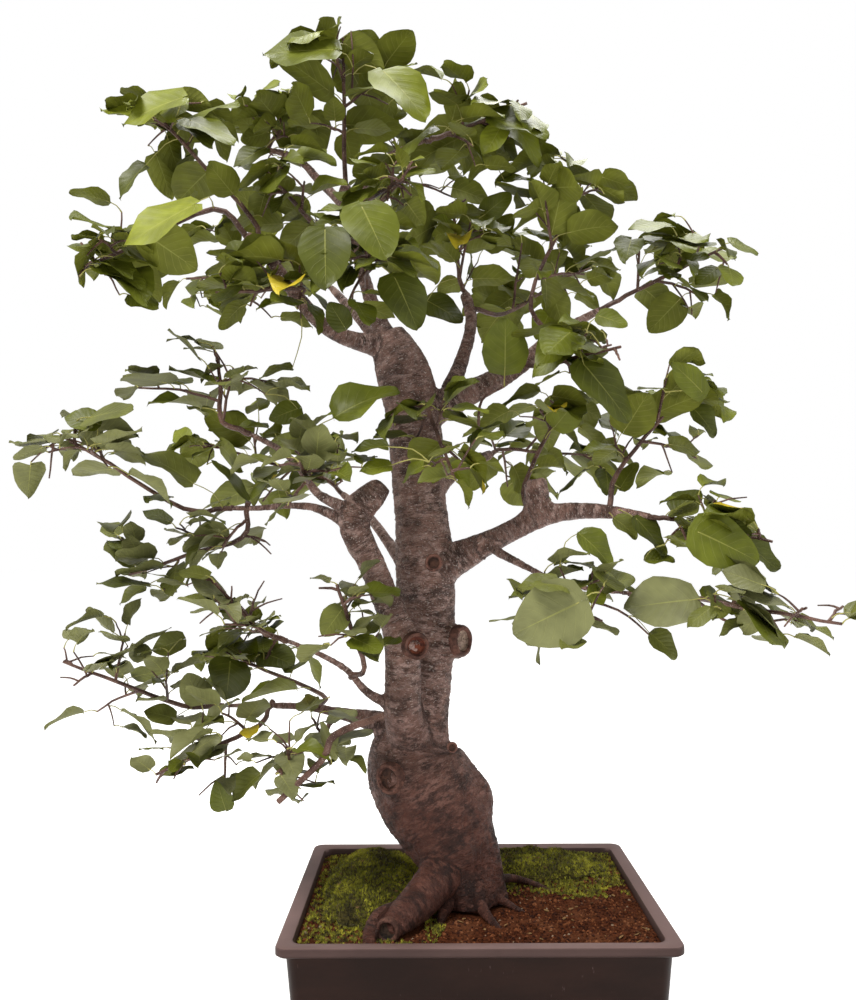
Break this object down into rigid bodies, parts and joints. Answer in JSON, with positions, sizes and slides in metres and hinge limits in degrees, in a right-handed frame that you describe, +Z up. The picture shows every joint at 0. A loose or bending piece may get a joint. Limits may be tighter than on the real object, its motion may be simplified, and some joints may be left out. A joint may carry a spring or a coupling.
{
  "type": "alder bonsai in a training pot",
  "caption": "Two-stemmed alder bonsai with open, rounded foliage masses on tapering boughs, a surface root, moss and soil in a plain rectangular training pot",
  "frame": {"origin": "centre of the pot's flat underside", "axes": "+Z up, X along the pot's long side, -Y the tree's front"},
  "size_m": [0.8912, 0.5501, 1.1851],
  "materials": {
    "bark": "rough grey-brown bark with pale lenticels",
    "leaf_green": "satin mid-green leaves",
    "leaf_dark": "satin dark green leaves",
    "leaf_grey": "satin grey-green leaves",
    "soil": "loose red-brown granules",
    "moss": "soft green moss",
    "pot_plastic": "matt dark brown plastic"
  },
  "bodies": {
    "root": {"bough_apex": "bark", "bough_apex_left": "bark", "bough_apex_right": "bark", "bough_back_high": "bark", "bough_back_left": "bark", "bough_back_right": "bark", "bough_low_left": "bark", "bough_low_left_up": "bark", "bough_low_right": "bark", "bough_mid_left": "bark", "bough_mid_left_low": "bark", "bough_right_under": "bark", "bough_riser": "bark", "bough_top_left": "bark", "bough_up_right": "bark", "leaves_apex_front": "leaf_green", "leaves_apex_leader": "leaf_green", "leaves_apex_left": "leaf_green", "leaves_apex_right": "leaf_green", "leaves_back_high_left": "leaf_dark", "leaves_back_high_right": "leaf_dark", "leaves_back_left": "leaf_dark", "leaves_back_low_left": "leaf_dark", "leaves_back_right": "leaf_dark", "leaves_back_top": "leaf_dark", "leaves_centre_front": "leaf_dark", "leaves_low_left_far": "leaf_grey", "leaves_low_left_high": "leaf_grey", "leaves_low_left_inner": "leaf_dark", "leaves_low_left_mid": "leaf_dark", "leaves_low_left_up": "leaf_grey", "leaves_low_right_far": "leaf_green", "leaves_low_right_inner": "leaf_dark", "leaves_mid_front": "leaf_dark", "leaves_mid_left_far": "leaf_grey", "leaves_mid_left_high": "leaf_grey", "leaves_mid_left_inner": "leaf_dark", "leaves_mid_left_low": "leaf_grey", "leaves_mid_right_far": "leaf_green", "leaves_mid_right_high": "leaf_green", "leaves_mid_right_inner": "leaf_dark", "leaves_upper_left_far": "leaf_green", "leaves_upper_left_high": "leaf_green", "leaves_upper_left_low": "leaf_green", "leaves_upper_left_mid": "leaf_dark", "leaves_upper_mid": "leaf_dark", "leaves_upper_right_far": "leaf_green", "leaves_upper_right_high": "leaf_green", "leaves_upper_right_low": "leaf_green", "moss_left": "moss", "moss_right": "moss", "pot": "pot_plastic", "second_stem": "bark", "soil": "soil", "trunk": "bark"}
  },
  "joints": []
}
